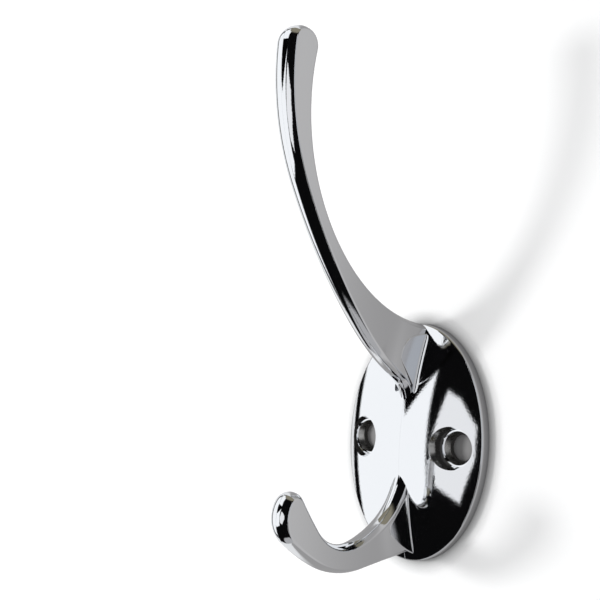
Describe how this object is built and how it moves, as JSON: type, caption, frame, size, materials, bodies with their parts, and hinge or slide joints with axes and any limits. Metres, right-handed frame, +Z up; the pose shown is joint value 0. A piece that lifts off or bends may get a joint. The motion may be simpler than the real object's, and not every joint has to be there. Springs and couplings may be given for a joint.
{
  "type": "wall hook",
  "caption": "Chrome-plated cast wall hook: an oval domed plate with a long swept upper arm and a short J-shaped lower hook.",
  "frame": {"origin": "centre of the plate on the wall plane, midway between the two screw holes", "axes": "+Z up; +Y into the wall, so the hook stands out towards -Y; +X across, the plane of symmetry is x = 0"},
  "size_m": [0.0354, 0.0463, 0.1016],
  "materials": {
    "chrome": "bright chrome plate on a die casting, mirror smooth"
  },
  "bodies": {
    "root": {"hook": "chrome"}
  },
  "joints": []
}
